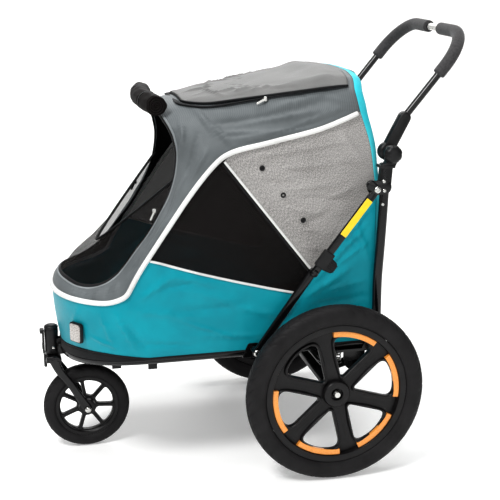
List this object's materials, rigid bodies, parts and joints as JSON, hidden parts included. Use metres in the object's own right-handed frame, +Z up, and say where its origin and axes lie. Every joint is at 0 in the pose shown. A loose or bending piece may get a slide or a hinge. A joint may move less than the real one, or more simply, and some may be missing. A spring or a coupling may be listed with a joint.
{
  "type": "pet stroller",
  "caption": "Folding pet stroller with a fabric cabin on a looped tube frame, a swivelling front castor, spoked rear wheels and a hinged U-shaped push handle.",
  "frame": {"origin": "on the floor, at the middle of the footprint box of the wheels and handle", "axes": "+Z up; +Y towards the back, where the person pushes, so the front castor is at -Y; +X towards the left side of the stroller, along the wheel axles"},
  "size_m": [0.644, 0.962, 0.9861],
  "materials": {
    "frame_enamel": "gloss black enamelled steel tube",
    "black_plastic": "moulded black nylon, satin",
    "bright_steel": "bright plated steel",
    "tyre_rubber": "matt black rubber with a fine tread",
    "grip_foam": "matt dark grey foam",
    "teal_cloth": "coated teal oxford cloth",
    "dark_grey_cloth": "dark grey polyester cloth",
    "light_grey_cloth": "light grey polyester cloth",
    "heather_cloth": "heather grey woven cloth",
    "black_mesh": "open black polyester mesh",
    "stiffener_board": "hard board inside the cabin floor",
    "reflector_lens": "clear prismatic reflector"
  },
  "bodies": {
    "chassis": {"base_frame": "frame_enamel", "brace_bracket_left": "frame_enamel", "brace_bracket_right": "frame_enamel", "rear_bracket_left": "frame_enamel", "rear_bracket_right": "frame_enamel", "floor_board": "stiffener_board", "floor_cushion": "dark_grey_cloth", "floor_slat_front": "black_plastic", "floor_slat_rear": "black_plastic", "tub_side_left": "teal_cloth", "tub_side_right": "teal_cloth", "side_window_left": "black_mesh", "side_window_right": "black_mesh", "hood_side_left": "heather_cloth", "hood_side_right": "heather_cloth", "tub_front": "teal_cloth", "front_apron": "dark_grey_cloth", "front_shoulder_left": "dark_grey_cloth", "front_shoulder_right": "dark_grey_cloth", "front_bib": "black_mesh", "rolled_door": "black_mesh", "roof_panel": "dark_grey_cloth", "roof_flap": "light_grey_cloth", "rear_wall": "teal_cloth", "reflector_left": "reflector_lens", "reflector_right": "reflector_lens", "head_tube": "black_plastic", "head_bush": "black_plastic", "head_cap": "black_plastic", "coil_spring_left": "bright_steel", "coil_spring_right": "bright_steel"},
    "uprights": {"upright_left": "frame_enamel", "upright_right": "frame_enamel", "lower_handle_bracket_left": "black_plastic", "lower_handle_bracket_right": "black_plastic"},
    "handle": {"handle_tube": "frame_enamel", "grip_left": "grip_foam", "grip_right": "grip_foam", "upper_handle_bracket_left": "black_plastic", "upper_handle_bracket_right": "black_plastic"},
    "swivel_lock": {"swivel_lock": "black_plastic"},
    "front_fork": {"front_fork": "frame_enamel", "front_axle": "bright_steel"},
    "front_wheel": {"front_rim": "black_plastic", "front_tyre": "tyre_rubber"},
    "rear_suspension": {"swing_axle": "frame_enamel", "axle_shaft": "bright_steel"},
    "brake": {"brake_pedal": "black_plastic"},
    "lower_brace_left": {"lower_brace_left": "frame_enamel"},
    "upper_brace_left": {"upper_brace_left": "frame_enamel"},
    "lock_collar_left": {"lock_collar_left": "black_plastic"},
    "clamp_knob_left": {"clamp_knob_left": "black_plastic"},
    "rear_wheel_left": {"rear_rim_left": "black_plastic", "rear_tyre_left": "tyre_rubber"},
    "lower_brace_right": {"lower_brace_right": "frame_enamel"},
    "upper_brace_right": {"upper_brace_right": "frame_enamel"},
    "lock_collar_right": {"lock_collar_right": "black_plastic"},
    "clamp_knob_right": {"clamp_knob_right": "black_plastic"},
    "rear_wheel_right": {"rear_rim_right": "black_plastic", "rear_tyre_right": "tyre_rubber"}
  },
  "joints": [
    {"name": "frame_fold", "type": "hinge", "parent": "chassis", "child": "uprights", "pos_m": [0, 0.2633, 0.3], "axis": [1, 0, 0], "range_deg": [0, 65], "deforming": ["tub_side_left", "tub_side_right", "side_window_left", "side_window_right", "hood_side_left", "hood_side_right", "tub_front", "front_apron", "front_shoulder_left", "front_shoulder_right", "front_bib", "rolled_door", "roof_panel", "roof_flap", "rear_wall"]},
    {"name": "brace_foot_left", "type": "hinge", "parent": "chassis", "child": "lower_brace_left", "pos_m": [0, -0.0207, 0.29], "axis": [1, 0, 0], "range_deg": [0, 125.5]},
    {"name": "brace_top_left", "type": "hinge", "parent": "uprights", "child": "upper_brace_left", "pos_m": [0, 0.2453, 0.648], "axis": [1, 0, 0], "range_deg": [-80, 0]},
    {"name": "collar_slide_left", "type": "slide", "parent": "upper_brace_left", "child": "lock_collar_left", "axis": [0, 0.6112, 0.7915], "range_m": [0, 0.04]},
    {"name": "knob_turn_left", "type": "hinge", "parent": "uprights", "child": "clamp_knob_left", "pos_m": [0, 0.2833, 0.722], "axis": [1, 0, 0], "range_deg": [0, 180]},
    {"name": "brace_foot_right", "type": "hinge", "parent": "chassis", "child": "lower_brace_right", "pos_m": [0, -0.0207, 0.29], "axis": [1, 0, 0], "range_deg": [0, 125.5]},
    {"name": "brace_top_right", "type": "hinge", "parent": "uprights", "child": "upper_brace_right", "pos_m": [0, 0.2453, 0.648], "axis": [1, 0, 0], "range_deg": [-80, 0]},
    {"name": "collar_slide_right", "type": "slide", "parent": "upper_brace_right", "child": "lock_collar_right", "axis": [0, 0.6112, 0.7915], "range_m": [0, 0.04]},
    {"name": "knob_turn_right", "type": "hinge", "parent": "uprights", "child": "clamp_knob_right", "pos_m": [0, 0.2833, 0.722], "axis": [-1, 0, 0], "range_deg": [0, 180]},
    {"name": "handle_tilt", "type": "hinge", "parent": "uprights", "child": "handle", "pos_m": [0, 0.2833, 0.722], "axis": [1, 0, 0], "range_deg": [-35, 25]},
    {"name": "swivel_lock_slide", "type": "slide", "parent": "chassis", "child": "swivel_lock", "axis": [0, 0, 1], "range_m": [0, 0.008]},
    {"name": "castor_swivel", "type": "hinge", "parent": "chassis", "child": "front_fork", "pos_m": [0, -0.4547, 0], "axis": [0, 0, 1], "continuous": true},
    {"name": "front_wheel_spin", "type": "hinge", "parent": "front_fork", "child": "front_wheel", "pos_m": [0, -0.3793, 0.1016], "axis": [1, 0, 0], "continuous": true},
    {"name": "suspension", "type": "hinge", "parent": "chassis", "child": "rear_suspension", "pos_m": [0, 0.2283, 0.225], "axis": [-1, 0, 0], "range_deg": [0, 7], "stiffness_Nm_per_rad": 20, "springref_deg": -34.38, "deforming": ["coil_spring_left", "coil_spring_right"]},
    {"name": "rear_wheel_spin_left", "type": "hinge", "parent": "rear_suspension", "child": "rear_wheel_left", "pos_m": [0, 0.1453, 0.2032], "axis": [1, 0, 0], "continuous": true},
    {"name": "rear_wheel_spin_right", "type": "hinge", "parent": "rear_suspension", "child": "rear_wheel_right", "pos_m": [0, 0.1453, 0.2032], "axis": [1, 0, 0], "continuous": true},
    {"name": "brake_press", "type": "hinge", "parent": "rear_suspension", "child": "brake", "pos_m": [0, 0.1773, 0.1872], "axis": [-1, 0, 0], "range_deg": [0, 20]}
  ],
  "couplings": [
    {"joint": "brace_foot_left", "follows": "frame_fold", "ratio": 1.9256},
    {"joint": "brace_top_left", "follows": "frame_fold", "ratio": -1.2232},
    {"joint": "brace_foot_right", "follows": "frame_fold", "ratio": 1.9256},
    {"joint": "brace_top_right", "follows": "frame_fold", "ratio": -1.2232}
  ]
}
